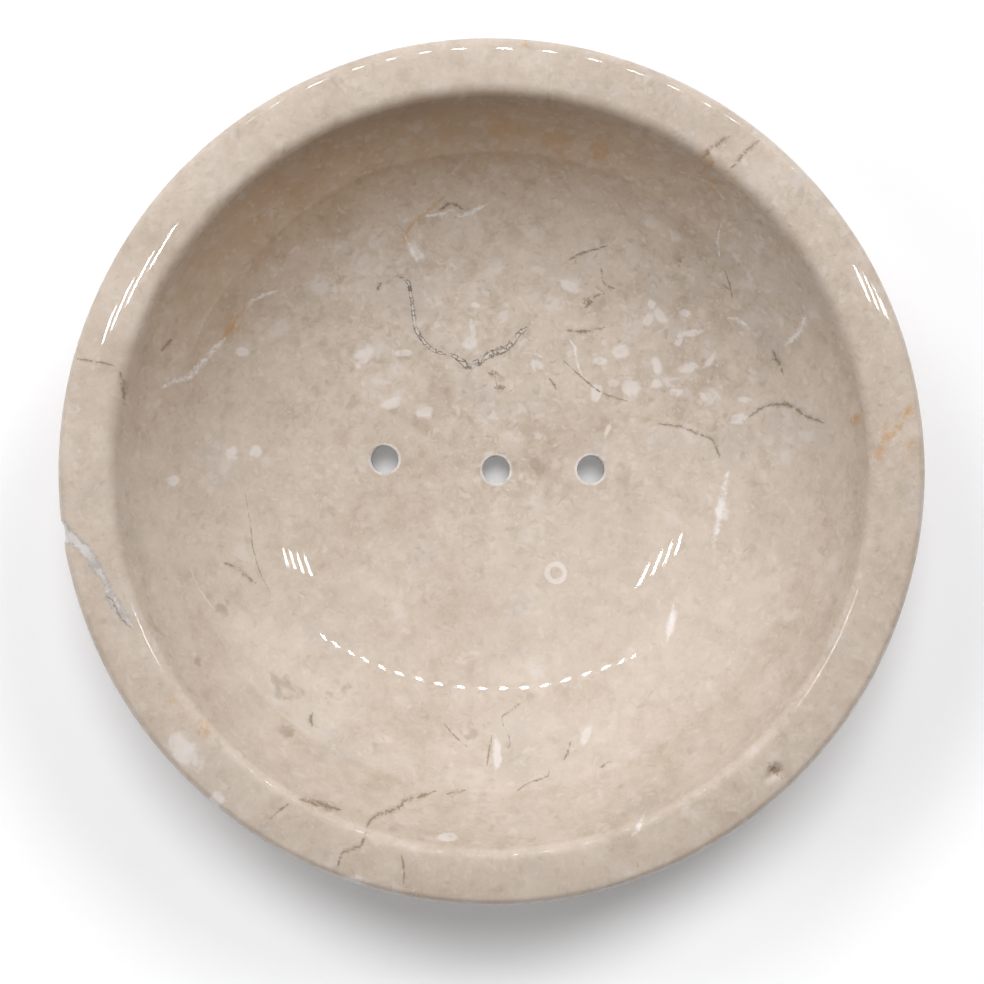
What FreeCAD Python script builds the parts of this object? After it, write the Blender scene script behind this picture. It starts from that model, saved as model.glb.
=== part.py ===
import FreeCAD, Part
import enum
import math
import os
import Sketcher

# Round stone soap dish, turned from one block, with three drain holes and four stick-on feet.
# Millimetres, +Z up. The origin is on the shelf, under the axis of the turning; the holes lie along X.

SIZES = [
    ("outer_dia", 120.0),         # across the widest part of the rim
    ("rim_crest_inset", 6.4),     # from the widest part in to the rim's highest line
    ("rim_crown_r", 25.0),        # crown of the rim outside that line, seen in section
    ("rim_edge_r", 1.6),          # round at the outermost edge
    ("bowl_edge_r", 2.2),         # round from the rim's highest line down into the bowl
    ("bowl_depth", 22.5),         # from the rim's highest line to the middle of the bowl's floor
    ("floor_thick", 4.0),         # stone under the middle of the bowl
    ("floor_arc_r", 165.0),       # gentle dish of the floor, seen in section
    ("wall_width", 29.6),         # from the rim's highest line in to where the floor turns up
    ("outside_arc_r", 46.0),      # round outside of the wall, seen in section
    ("base_inset", 29.0),         # from the widest part in to the edge of the flat base
    ("base_edge_r", 3.0),         # round from the base into the outside
    ("hole_dia", 4.0),            # drilled drain holes
    ("hole_bevel", 0.35),         # bruised edge of a hole, inside and under the base
    ("hole_left_x", -15.4),       # the holes were drilled by eye, so each has its own place
    ("hole_left_y", 1.9),
    ("hole_middle_x", 0.65),
    ("hole_middle_y", 0.4),
    ("hole_right_x", 14.3),
    ("hole_right_y", 0.45),
    ("foot_dia", 10.0),
    ("foot_height", 1.3),
    ("foot_edge_r", 0.5),         # round at the lower edge of a foot
    ("foot_inset", 2.0),          # from the edge of the flat base to a foot
    ("adhesive_thick", 0.2),
    ("adhesive_inset", 0.3),      # from the edge of a foot to its adhesive
]

HOLES = ("left", "middle", "right")

# The feet stand at the corners of a square: each one's side of the X and the Y axis
FEET = {
    "back_right": ("+", "+"),
    "back_left": ("-", "+"),
    "front_left": ("-", "-"),
    "front_right": ("+", "-"),
}

# Distances that several pieces share, as expressions over the sheet
STAND_OFF = "Sizes.foot_height + Sizes.adhesive_thick"
BASE_REACH = "(Sizes.outer_dia / 2 - Sizes.base_inset)"
FOOT_REACH = "(%s - Sizes.foot_inset - Sizes.foot_dia / 2)" % BASE_REACH


class At(enum.IntEnum):
    """Position on a piece of sketch geometry."""
    START = 1
    END = 2
    CENTRE = 3


class Fixed(enum.IntEnum):
    """What every sketch holds before anything is drawn."""
    ORIGIN = -1
    UPRIGHT_AXIS = -2


ORIGIN_POINT = (Fixed.ORIGIN, At.START)

# How far two measured lengths may differ and still count as the same
SAME = 0.001


def make_sheet(doc):
    sheet = doc.addObject("Spreadsheet::Sheet", "Sizes")
    for row, (alias, value) in enumerate(SIZES, start=1):
        sheet.set("A%d" % row, alias)
        sheet.set("B%d" % row, str(value))
        sheet.setAlias("B%d" % row, alias)
    doc.recompute()
    return sheet


def origin_plane(body, role):
    for feature in body.Origin.OriginFeatures:
        if feature.Role == role:
            return feature
    raise LookupError(role)


def new_sketch(body, name, role):
    sketch = body.newObject("Sketcher::SketchObject", name)
    sketch.AttachmentSupport = [(origin_plane(body, role), "")]
    sketch.MapMode = "FlatFace"
    return sketch


def dimension(sketch, name, expression, kind, *where):
    """Add a measured constraint and tie it to the sheet."""
    index = sketch.addConstraint(Sketcher.Constraint(kind, *where))
    sketch.renameConstraint(index, name)
    sketch.setExpression("Constraints." + name, expression)


def arc(centre, radius, start, end):
    """Arc in the sketch plane, anticlockwise from the point start to the point end."""
    angles = [math.atan2(p[1] - centre[1], p[0] - centre[0]) for p in (start, end)]
    circle = Part.Circle(FreeCAD.Vector(*centre, 0), FreeCAD.Vector(0, 0, 1), radius)
    return Part.ArcOfCircle(circle, *angles)


def line(start, end):
    return Part.LineSegment(FreeCAD.Vector(*start, 0), FreeCAD.Vector(*end, 0))


def along(centre, through, radius):
    """Point at the given distance from centre, on the line from it through another point."""
    length = math.dist(centre, through)
    return tuple(c + (t - c) * radius / length for c, t in zip(centre, through))


def stone_outline(sheet):
    """Half section of the stone, as (distance from the axis, height over its base)."""
    floor = (0.0, sheet.floor_thick)
    top = sheet.floor_thick + sheet.bowl_depth
    outer = sheet.outer_dia / 2

    # The rim rises from the round at its outermost edge, over its crown, to the round above the bowl
    crest = (outer - sheet.rim_crest_inset, top)
    crown_centre = (crest[0], top - sheet.rim_crown_r)
    bowl_edge_centre = (crest[0], top - sheet.bowl_edge_r)
    edge_out = outer - sheet.rim_edge_r
    climb = math.sqrt((sheet.rim_crown_r - sheet.rim_edge_r) ** 2 - (edge_out - crest[0]) ** 2)
    edge_centre = (edge_out, crown_centre[1] + climb)
    crown_end = along(crown_centre, edge_centre, sheet.rim_crown_r)

    # The wall's arc leaves the floor's shallow arc smoothly and runs into the round above the bowl
    floor_centre = (0.0, sheet.floor_thick + sheet.floor_arc_r)
    floor_reach = crest[0] - sheet.wall_width
    rise = math.asin(floor_reach / sheet.floor_arc_r)
    turn = (floor_reach, floor_centre[1] - sheet.floor_arc_r * math.cos(rise))
    away = (turn[0] - bowl_edge_centre[0], turn[1] - bowl_edge_centre[1])
    inward = away[1] * math.cos(rise) - away[0] * math.sin(rise)
    wall_r = (math.hypot(*away) ** 2 - sheet.bowl_edge_r ** 2) / 2 / (sheet.bowl_edge_r - inward)
    wall_centre = along(turn, floor_centre, wall_r)
    wall_end = along(wall_centre, bowl_edge_centre, wall_r)

    # The outside is one arc between the round at the rim and the round at the base
    base = (outer - sheet.base_inset, 0.0)
    base_edge_centre = (base[0], sheet.base_edge_r)
    to_base = sheet.outside_arc_r - sheet.base_edge_r
    to_rim = sheet.outside_arc_r - sheet.rim_edge_r
    span = math.dist(base_edge_centre, edge_centre)
    forward = (span ** 2 + to_base ** 2 - to_rim ** 2) / 2 / span
    aside = math.sqrt(to_base ** 2 - forward ** 2)
    ahead = [(e - b) / span for b, e in zip(base_edge_centre, edge_centre)]
    outside_centre = (base_edge_centre[0] + forward * ahead[0] - aside * ahead[1],
                      base_edge_centre[1] + forward * ahead[1] + aside * ahead[0])
    outside_start = along(outside_centre, base_edge_centre, sheet.outside_arc_r)
    outside_end = along(outside_centre, edge_centre, sheet.outside_arc_r)

    return [
        arc(floor_centre, sheet.floor_arc_r, floor, turn),
        arc(wall_centre, wall_r, turn, wall_end),
        arc(bowl_edge_centre, sheet.bowl_edge_r, crest, wall_end),
        arc(crown_centre, sheet.rim_crown_r, crown_end, crest),
        arc(edge_centre, sheet.rim_edge_r, outside_end, crown_end),
        arc(outside_centre, sheet.outside_arc_r, outside_start, outside_end),
        arc(base_edge_centre, sheet.base_edge_r, base, outside_start),
        line(base, (0.0, 0.0)),
        line((0.0, 0.0), floor),
    ]


def draw_stone_section(sketch, sheet):
    outline = sketch.addGeometry(stone_outline(sheet), False)
    floor, wall, bowl_edge, crown, rim_edge, outside, base_edge, base, axis = outline
    sketch.addConstraint([
        Sketcher.Constraint("Tangent", floor, At.END, wall, At.START),
        Sketcher.Constraint("Tangent", wall, At.END, bowl_edge, At.END),
        Sketcher.Constraint("Tangent", bowl_edge, At.START, crown, At.END),
        Sketcher.Constraint("Tangent", crown, At.START, rim_edge, At.END),
        Sketcher.Constraint("Tangent", rim_edge, At.START, outside, At.END),
        Sketcher.Constraint("Tangent", outside, At.START, base_edge, At.END),
        Sketcher.Constraint("Tangent", base_edge, At.START, base, At.START),
        Sketcher.Constraint("Coincident", base, At.END, axis, At.START),
        Sketcher.Constraint("Coincident", axis, At.END, floor, At.START),
        Sketcher.Constraint("Coincident", base, At.END, *ORIGIN_POINT),
        Sketcher.Constraint("Horizontal", base),
        Sketcher.Constraint("Vertical", crown, At.CENTRE, crown, At.END),
        Sketcher.Constraint("PointOnObject", floor, At.START, Fixed.UPRIGHT_AXIS),
        Sketcher.Constraint("PointOnObject", floor, At.CENTRE, Fixed.UPRIGHT_AXIS),
    ])
    for arc_name, index in (("floor_arc_r", floor), ("bowl_edge_r", bowl_edge), ("rim_crown_r", crown),
                            ("rim_edge_r", rim_edge), ("outside_arc_r", outside),
                            ("base_edge_r", base_edge)):
        dimension(sketch, arc_name, "Sizes." + arc_name, "Radius", index, sheet.get(arc_name))
    dimension(sketch, "floor_thick", "Sizes.floor_thick",
              "DistanceY", *ORIGIN_POINT, floor, At.START, sheet.floor_thick)
    dimension(sketch, "wall_width", "Sizes.wall_width",
              "DistanceX", floor, At.END, crown, At.END, sheet.wall_width)
    dimension(sketch, "bowl_depth", "Sizes.bowl_depth",
              "DistanceY", floor, At.START, crown, At.END, sheet.bowl_depth)
    dimension(sketch, "rim_crest", "Sizes.outer_dia / 2 - Sizes.rim_crest_inset",
              "DistanceX", *ORIGIN_POINT, crown, At.END, sheet.outer_dia / 2 - sheet.rim_crest_inset)
    dimension(sketch, "rim_reach", "Sizes.outer_dia / 2 - Sizes.rim_edge_r",
              "DistanceX", *ORIGIN_POINT, rim_edge, At.CENTRE, sheet.outer_dia / 2 - sheet.rim_edge_r)
    dimension(sketch, "base_reach", BASE_REACH,
              "DistanceX", *ORIGIN_POINT, base, At.START, sheet.outer_dia / 2 - sheet.base_inset)


def hole_place(sheet, hole):
    return FreeCAD.Vector(sheet.get("hole_%s_x" % hole), sheet.get("hole_%s_y" % hole), 0)


def draw_holes(sketch, sheet):
    for hole in HOLES:
        place = hole_place(sheet, hole)
        circle = Part.Circle(place, FreeCAD.Vector(0, 0, 1), sheet.hole_dia / 2)
        index = sketch.addGeometry(circle, False)
        dimension(sketch, hole + "_x", "Sizes.hole_%s_x" % hole,
                  "DistanceX", *ORIGIN_POINT, index, At.CENTRE, place.x)
        dimension(sketch, hole + "_y", "Sizes.hole_%s_y" % hole,
                  "DistanceY", *ORIGIN_POINT, index, At.CENTRE, place.y)
        dimension(sketch, hole + "_dia", "Sizes.hole_dia", "Diameter", index, sheet.hole_dia)


def hole_rims(shape, sheet):
    """Names of the edges where the drilled walls meet the bowl's floor and the base."""
    names = []
    places = [hole_place(sheet, hole) for hole in HOLES]
    for number, edge in enumerate(shape.Edges, start=1):
        if edge.Degenerated or isinstance(edge.Curve, Part.Line):
            continue
        point = edge.valueAt(edge.FirstParameter)
        point.z = 0
        if any(abs(point.distanceToPoint(place) - sheet.hole_dia / 2) < SAME for place in places):
            names.append("Edge%d" % number)
    return names


def make_stone(doc, sheet):
    body = doc.addObject("PartDesign::Body", "stone_bowl")
    body.Label = "stone_bowl"
    section = new_sketch(body, "stone_section", "YZ_Plane")
    draw_stone_section(section, sheet)
    turned = body.newObject("PartDesign::Revolution", "turned_stone")
    turned.Profile = section
    turned.ReferenceAxis = (section, ["V_Axis"])
    turned.Angle = 360

    plan = new_sketch(body, "hole_plan", "XY_Plane")
    draw_holes(plan, sheet)
    drilled = body.newObject("PartDesign::Pocket", "drain_holes")
    drilled.Profile = plan
    drilled.Type = "ThroughAll"
    drilled.Reversed = True
    doc.recompute()
    least_cut = len(HOLES) * math.pi * sheet.hole_dia ** 2 / 4 * sheet.floor_thick
    if turned.Shape.Volume - drilled.Shape.Volume < least_cut:
        raise RuntimeError("the drain holes don't go through the floor")

    bruised = body.newObject("PartDesign::Chamfer", "bruised_hole_edges")
    bruised.Base = (drilled, hole_rims(drilled.Shape, sheet))
    bruised.setExpression("Size", "Sizes.hole_bevel")
    body.Tip = bruised
    body.setExpression("Placement.Base.z", STAND_OFF)
    return body


def place_under_base(piece, sides):
    for axis, side in zip("xy", sides):
        piece.setExpression("Placement.Base." + axis, "%s%s * cos(45 deg)" % (side, FOOT_REACH))


def lowest_edge(shape):
    heights = [edge.BoundBox.ZMax for edge in shape.Edges]
    return ["Edge%d" % (heights.index(min(heights)) + 1)]


def make_foot(doc, sheet, corner, sides):
    name = "foot_" + corner
    body = doc.addObject("PartDesign::Body", name)
    body.Label = name
    plan = new_sketch(body, name + "_plan", "XY_Plane")
    circle = Part.Circle(FreeCAD.Vector(0, 0, 0), FreeCAD.Vector(0, 0, 1), sheet.foot_dia / 2)
    index = plan.addGeometry(circle, False)
    plan.addConstraint(Sketcher.Constraint("Coincident", index, At.CENTRE, *ORIGIN_POINT))
    dimension(plan, "foot_dia", "Sizes.foot_dia", "Diameter", index, sheet.foot_dia)
    disc = body.newObject("PartDesign::Pad", name + "_disc")
    disc.Profile = plan
    disc.setExpression("Length", "Sizes.foot_height")
    doc.recompute()
    worn = body.newObject("PartDesign::Fillet", name + "_round")
    worn.Base = (disc, lowest_edge(disc.Shape))
    worn.setExpression("Radius", "Sizes.foot_edge_r")
    body.Tip = worn
    place_under_base(body, sides)
    return body


def make_adhesive(doc, corner, sides):
    name = "foot_adhesive_" + corner
    disc = doc.addObject("Part::Cylinder", name)
    disc.Label = name
    disc.setExpression("Radius", "Sizes.foot_dia / 2 - Sizes.adhesive_inset")
    disc.setExpression("Height", "Sizes.adhesive_thick")
    disc.setExpression("Placement.Base.z", "Sizes.foot_height")
    place_under_base(disc, sides)
    return disc


def check(doc, parts):
    for item in doc.Objects:
        if "Invalid" in item.State or "Error" in item.State:
            raise RuntimeError("%s did not build: %s" % (item.Name, item.State))
    for piece in parts:
        if piece.Shape.isNull() or not piece.Shape.isValid():
            raise RuntimeError("%s has no valid shape" % piece.Label)


def main():
    doc = FreeCAD.newDocument("soap_dish")
    sheet = make_sheet(doc)
    parts = [make_stone(doc, sheet)]
    for corner, sides in FEET.items():
        parts.append(make_foot(doc, sheet, corner, sides))
        parts.append(make_adhesive(doc, corner, sides))
    doc.recompute()
    check(doc, parts)
    os.makedirs("parts", exist_ok=True)
    for piece in parts:
        piece.Shape.exportStep("parts/%s.step" % piece.Label)
        box = piece.Shape.BoundBox
        print("%s: %.1f mm3, z %.2f to %.2f" % (piece.Label, piece.Shape.Volume, box.ZMin, box.ZMax))


main()
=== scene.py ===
import math
from collections import namedtuple

import bmesh
import bpy
import numpy as np
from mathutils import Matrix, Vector, noise


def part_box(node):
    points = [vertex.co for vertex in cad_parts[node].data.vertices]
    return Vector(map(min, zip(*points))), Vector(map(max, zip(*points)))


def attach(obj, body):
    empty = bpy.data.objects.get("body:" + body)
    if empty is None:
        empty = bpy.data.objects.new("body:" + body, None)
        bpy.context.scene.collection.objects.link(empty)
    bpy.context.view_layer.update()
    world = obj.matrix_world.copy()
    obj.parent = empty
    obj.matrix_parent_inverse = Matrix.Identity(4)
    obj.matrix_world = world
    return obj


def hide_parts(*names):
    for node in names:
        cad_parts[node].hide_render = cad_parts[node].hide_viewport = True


# Looks of a round soap dish turned from one block of polished cream limestone.
# Lengths are in millimetres, and MM turns them into the frame's metres.

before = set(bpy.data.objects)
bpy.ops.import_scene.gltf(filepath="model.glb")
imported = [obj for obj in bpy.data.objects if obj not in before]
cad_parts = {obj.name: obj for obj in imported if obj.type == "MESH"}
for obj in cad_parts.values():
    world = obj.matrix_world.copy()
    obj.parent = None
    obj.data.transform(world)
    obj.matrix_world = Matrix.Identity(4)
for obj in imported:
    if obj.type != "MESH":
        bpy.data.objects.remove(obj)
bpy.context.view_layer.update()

MM = 0.001

# Section of the stone, as it was turned
RIM_CREST_INSET = 6.4       # from the widest part in to the rim's highest line
RIM_CROWN_R = 25.0
RIM_EDGE_R = 1.6
BOWL_EDGE_R = 2.2           # round from the rim's highest line down into the bowl
BOWL_DEPTH = 22.5
FLOOR_ARC_R = 165.0
WALL_WIDTH = 29.6           # from the rim's highest line in to where the floor turns up
OUTSIDE_ARC_R = 46.0
BASE_INSET = 29.0           # from the widest part in to the edge of the flat base
BASE_EDGE_R = 3.0
STONE_LOW, STONE_HIGH = (np.array(corner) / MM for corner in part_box("stone_bowl"))
OUTER_R = (STONE_HIGH[0] - STONE_LOW[0]) / 2
BASE_Z, TOP_Z = STONE_LOW[2], STONE_HIGH[2]
FLOOR_Z = TOP_Z - BOWL_DEPTH

# Mesh of the stone: the length of its faces along the section, and how many lie round the axis
BOWL_STEP = 0.5
EDGE_STEP = 0.2
CROWN_STEP = 0.35
OUTSIDE_STEP = 0.7
BASE_EDGE_STEP = 0.4
BASE_STEP = 0.8
RING_MOST = 768
RING_LEAST = 24
FACE_LEAST = 0.28           # rings are halved where their faces would be narrower than this
SHARP_ANGLE = math.radians(38)

# Drilled drain holes
HOLES = {"left": (-15.4, 1.9), "middle": (0.65, 0.4), "right": (14.3, 0.45)}
HOLE_R = 2.0
HOLE_BEVEL = 0.15           # what is left of the bevel at its ragged edge
BEVEL_KNEE = (0.6, 0.35)    # where the bevel bends, out and down, as shares of it
DRILL_BELOW, DRILL_ABOVE = 1.0, 0.8     # how far the drill shape runs past the stone
DRILL_STEP = 0.5
CHATTER, CHATTER_LENGTH = 0.05, 0.8     # raggedness as a share of the radius, coarse and fine
CRUMBLE, CRUMBLE_LENGTH = 0.03, 0.3
BRUISE_LEAST = 0.12         # raggedness inside the hole, as a share of that on its bevel

# The photo's camera looks straight down from this far above the rim
PHOTO_SIZE = 984
PHOTO_MIDDLE = PHOTO_SIZE / 2
DISH_CENTRE_PX = (491.5, 471.5)
CAMERA_HEIGHT = 450.0
PX_AT_RIM = 0.1375          # size of a pixel at the height of the rim
CAMERA_X = (PHOTO_MIDDLE - DISH_CENTRE_PX[0]) * PX_AT_RIM
CAMERA_Y = (DISH_CENTRE_PX[1] - PHOTO_MIDDLE) * PX_AT_RIM
SENSOR_WIDTH = 36.0
CLIP_START = 10.0
PLACE_ROUNDS = 30           # enough to settle where a pixel meets the bowl


def along(centre, through, radius):
    """Point at the given distance from centre, on the line from it through another point."""
    length = math.dist(centre, through)
    return tuple(c + (t - c) * radius / length for c, t in zip(centre, through))


def bearing(centre, point):
    return math.atan2(point[1] - centre[1], point[0] - centre[0])


def arc_points(centre, radius, start, end, step):
    """Points on an arc, all but the last one, as (distance from the axis, height)."""
    count = max(2, math.ceil(abs(end - start) * radius / step))
    angles = np.linspace(start, end, count, endpoint=False)
    return [(centre[0] + radius * math.cos(a), centre[1] + radius * math.sin(a)) for a in angles]


def stone_section():
    """The bowl and rim, then the outside and base, each as a list of (distance from the axis, height)."""
    crest_r = OUTER_R - RIM_CREST_INSET
    crown_centre = (crest_r, TOP_Z - RIM_CROWN_R)
    bowl_edge_centre = (crest_r, TOP_Z - BOWL_EDGE_R)
    edge_r = OUTER_R - RIM_EDGE_R
    climb = math.sqrt((RIM_CROWN_R - RIM_EDGE_R) ** 2 - (edge_r - crest_r) ** 2)
    edge_centre = (edge_r, crown_centre[1] + climb)

    floor_centre = (0.0, FLOOR_Z + FLOOR_ARC_R)
    rise = math.asin((crest_r - WALL_WIDTH) / FLOOR_ARC_R)
    turn = (crest_r - WALL_WIDTH, floor_centre[1] - FLOOR_ARC_R * math.cos(rise))
    away = (turn[0] - bowl_edge_centre[0], turn[1] - bowl_edge_centre[1])
    inward = away[1] * math.cos(rise) - away[0] * math.sin(rise)
    wall_r = (math.hypot(*away) ** 2 - BOWL_EDGE_R ** 2) / 2 / (BOWL_EDGE_R - inward)
    wall_centre = along(turn, floor_centre, wall_r)

    base_edge_centre = (OUTER_R - BASE_INSET, BASE_Z + BASE_EDGE_R)
    to_base, to_rim = OUTSIDE_ARC_R - BASE_EDGE_R, OUTSIDE_ARC_R - RIM_EDGE_R
    span = math.dist(base_edge_centre, edge_centre)
    forward = (span ** 2 + to_base ** 2 - to_rim ** 2) / 2 / span
    aside = math.sqrt(to_base ** 2 - forward ** 2)
    ahead = [(e - b) / span for b, e in zip(base_edge_centre, edge_centre)]
    outside_centre = (base_edge_centre[0] + forward * ahead[0] - aside * ahead[1],
                      base_edge_centre[1] + forward * ahead[1] + aside * ahead[0])

    down, up = -math.pi / 2, math.pi / 2
    wall_top = bearing(wall_centre, bowl_edge_centre)
    crown_end = bearing(crown_centre, edge_centre)
    outside_top = bearing(outside_centre, edge_centre)
    outside_foot = bearing(outside_centre, base_edge_centre)
    above = (
        arc_points(floor_centre, FLOOR_ARC_R, down, down + rise, BOWL_STEP)
        + arc_points(wall_centre, wall_r, down + rise, wall_top, BOWL_STEP)
        + arc_points(bowl_edge_centre, BOWL_EDGE_R, wall_top + math.pi, up, EDGE_STEP)
        + arc_points(crown_centre, RIM_CROWN_R, up, crown_end, CROWN_STEP)
        + arc_points(edge_centre, RIM_EDGE_R, crown_end, 0.0, EDGE_STEP)
    )
    below = (
        arc_points(edge_centre, RIM_EDGE_R, 0.0, outside_top, EDGE_STEP)
        + arc_points(outside_centre, OUTSIDE_ARC_R, outside_top, outside_foot, OUTSIDE_STEP)
        + arc_points(base_edge_centre, BASE_EDGE_R, outside_foot, down, BASE_EDGE_STEP)
        + [(r, BASE_Z) for r in np.arange(base_edge_centre[0], 0, -BASE_STEP)]
    )
    return above, below


ABOVE, BELOW = stone_section()
ABOVE_R, ABOVE_Z = np.array(ABOVE).T


def top_height(radius):
    """Height of the bowl or the rim at a distance from the axis."""
    return np.interp(radius, ABOVE_R, ABOVE_Z)


def stone_place(pixel):
    """Where a pixel of the photo lies on the stone, as (x, y)."""
    height = TOP_Z
    for _ in range(PLACE_ROUNDS):
        scale = PX_AT_RIM * (CAMERA_HEIGHT + TOP_Z - height) / CAMERA_HEIGHT
        x = CAMERA_X + (pixel[0] - PHOTO_MIDDLE) * scale
        y = CAMERA_Y + (PHOTO_MIDDLE - pixel[1]) * scale
        height = top_height(math.hypot(x, y))
    return x, y


# Veins, each with its kind, its half width and its route in the photo's pixels
Vein = namedtuple("Vein", "kind half_width route")
VEINS = {
    "upper_crackle": Vein("crackle", 0.3, [(397, 276), (408, 282), (411, 295), (413, 311), (417, 331),
                                           (428, 346), (440, 353), (452, 355)]),
    "main_crackle": Vein("crackle", 0.5, [(450, 354), (459, 359), (469, 367), (478, 362), (490, 355),
                                          (507, 348), (519, 334), (529, 327)]),
    "right_arch": Vein("crack", 0.3, [(749, 417), (768, 406), (787, 405), (806, 416), (824, 423)]),
    "rim_quartz_end": Vein("quartz", 0.5, [(104, 577), (110, 594), (120, 611), (132, 627)]),
    "rim_quartz_crack": Vein("crack", 0.16, [(106, 596), (113, 601), (117, 611), (125, 622), (134, 631)]),
    "front_right_chip": Vein("crack", 0.6, [(769, 764), (776, 771), (783, 779)]),
    "middle_crack": Vein("crack", 0.14, [(563, 360), (577, 373), (593, 387), (607, 395), (630, 402)]),
    "join_crack": Vein("crack", 0.24, [(658, 424), (682, 427), (700, 435), (712, 440), (717, 450),
                                       (720, 458)]),
    "upper_dash": Vein("crack", 0.2, [(563, 264), (578, 255), (590, 251), (609, 245)]),
    "hooked_dash": Vein("crack", 0.2, [(601, 267), (603, 281), (609, 287), (616, 289)]),
    "forked_dash": Vein("crack", 0.24, [(582, 299), (596, 297), (606, 293)]),
    "forked_dash_arm": Vein("crack", 0.24, [(584, 309), (594, 300), (600, 297)]),
    "long_brown": Vein("crack", 0.26, [(566, 330), (580, 332), (596, 330), (606, 327)]),
    "wall_dash": Vein("crack", 0.26, [(772, 350), (779, 363), (784, 375)]),
    "rim_left_crack": Vein("crack", 0.2, [(76, 359), (96, 362), (116, 366)]),
    "wall_left_crack": Vein("crack", 0.3, [(120, 371), (123, 386), (125, 400)]),
    "left_dash": Vein("crack", 0.2, [(161, 352), (168, 344), (174, 338)]),
    "low_left_crack": Vein("crack", 0.25, [(223, 563), (236, 567), (246, 576), (257, 584)]),
    "front_dash": Vein("crack", 0.4, [(300, 799), (313, 803), (326, 806), (341, 811)]),
    "front_crack": Vein("crack", 0.3, [(366, 829), (375, 817), (399, 808), (405, 801), (420, 797),
                                       (437, 791)]),
    "front_crack_end": Vein("crack", 0.18, [(446, 794), (458, 792), (466, 790)]),
    "front_rim_crack": Vein("crack", 0.24, [(338, 868), (343, 853), (360, 846), (367, 831)]),
    "front_rim_dash": Vein("crack", 0.2, [(270, 820), (279, 811), (289, 804)]),
    "front_rim_stroke": Vein("crack", 0.14, [(401, 853), (404, 868), (404, 886)]),
    "front_rim_white": Vein("calcite", 0.35, [(645, 815), (640, 826), (631, 838)]),
    "middle_fleck": Vein("crack", 0.5, [(489, 372), (493, 374), (497, 374)]),
    "middle_fleck_two": Vein("crack", 0.4, [(494, 387), (500, 388), (506, 387)]),
    "middle_fleck_low": Vein("crack", 0.2, [(549, 377), (553, 383), (557, 391)]),
    "left_fleck": Vein("crack", 0.3, [(376, 291), (379, 286), (382, 282)]),
    "right_fleck": Vein("crack", 0.35, [(679, 267), (682, 259), (683, 253)]),
    "low_left_vein": Vein("crack", 0.09, [(245, 493), (250, 520), (253, 547), (260, 572), (270, 592),
                                          (275, 600)]),
    "low_left_thread": Vein("calcite", 0.08, [(190, 566), (197, 585), (207, 600), (217, 614)]),
    "low_left_fleck": Vein("crack", 0.3, [(312, 712), (311, 720), (312, 728)]),
    "front_gray": Vein("crack", 0.13, [(526, 698), (517, 706), (509, 712), (502, 718), (504, 728)]),
    "front_column_left": Vein("crack", 0.12, [(492, 735), (489, 752), (487, 768)]),
    "front_column_right": Vein("crack", 0.12, [(508, 734), (510, 742), (508, 750)]),
    "front_gray_twig": Vein("crack", 0.13, [(516, 792), (527, 784), (538, 780), (548, 776), (549, 768)]),
    "front_brown": Vein("crack", 0.16, [(571, 740), (568, 752), (564, 760)]),
    "front_brown_dash": Vein("crack", 0.16, [(600, 768), (606, 764), (612, 762)]),
    "front_faint": Vein("crack", 0.12, [(443, 722), (452, 733), (468, 748)]),
    "back_right_crack": Vein("crack", 0.32, [(703, 158), (714, 147), (731, 136)]),
    "back_right_crack_two": Vein("crack", 0.3, [(731, 169), (745, 153), (760, 140)]),
    "back_dash": Vein("crack", 0.28, [(436, 212), (452, 204), (463, 210)]),
    "white_line": Vein("calcite", 0.3, [(424, 216), (440, 214), (452, 211), (462, 216), (474, 211),
                                        (492, 202)]),
    "white_branch": Vein("calcite", 0.22, [(522, 352), (536, 354), (544, 358)]),
    "white_spine": Vein("calcite", 0.35, [(405, 236), (412, 250), (418, 262)]),
    "left_white": Vein("calcite", 0.4, [(162, 388), (178, 380), (190, 377), (201, 364), (213, 351),
                                        (226, 338)]),
    "left_white_end": Vein("calcite", 0.3, [(246, 309), (256, 298), (279, 291)]),
    "right_white": Vein("calcite", 0.16, [(722, 222), (718, 240), (720, 258)]),
    "right_white_thread": Vein("crack", 0.1, [(724, 268), (730, 285), (733, 303)]),
    "right_white_end": Vein("calcite", 0.3, [(728, 318), (740, 320), (750, 331)]),
    "right_white_low": Vein("calcite", 0.4, [(806, 316), (800, 331), (784, 347)]),
    "rim_quartz": Vein("quartz", 0.55, [(60, 519), (68, 533), (80, 545), (90, 556), (97, 569), (107, 582)]),
    "rim_quartz_arm": Vein("quartz", 0.35, [(62, 542), (71, 541), (82, 546)]),
    "middle_white": Vein("calcite", 0.2, [(568, 337), (575, 348), (577, 362), (582, 376)]),
    # painted sheen: these two pale streaks stand for the room reflected in the bowl's floor
    "floor_painted_sheen": Vein("calcite", 0.5, [(729, 470), (722, 497), (718, 524), (713, 548)]),
    "front_painted_sheen": Vein("calcite", 0.3, [(674, 604), (672, 620), (668, 642)]),
    "rim_rust_line": Vein("rust_line", 0.5, [(878, 458), (886, 440), (897, 430), (912, 404)]),
    "rim_rust_line_two": Vein("rust_line", 0.4, [(716, 162), (705, 170), (700, 180)]),
    "left_rust_line": Vein("rust_line", 0.35, [(216, 348), (229, 330), (240, 314), (250, 304)]),
    "back_rust_line": Vein("rust_line", 0.4, [(406, 235), (410, 226), (420, 218), (432, 208), (446, 196)]),
}

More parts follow.
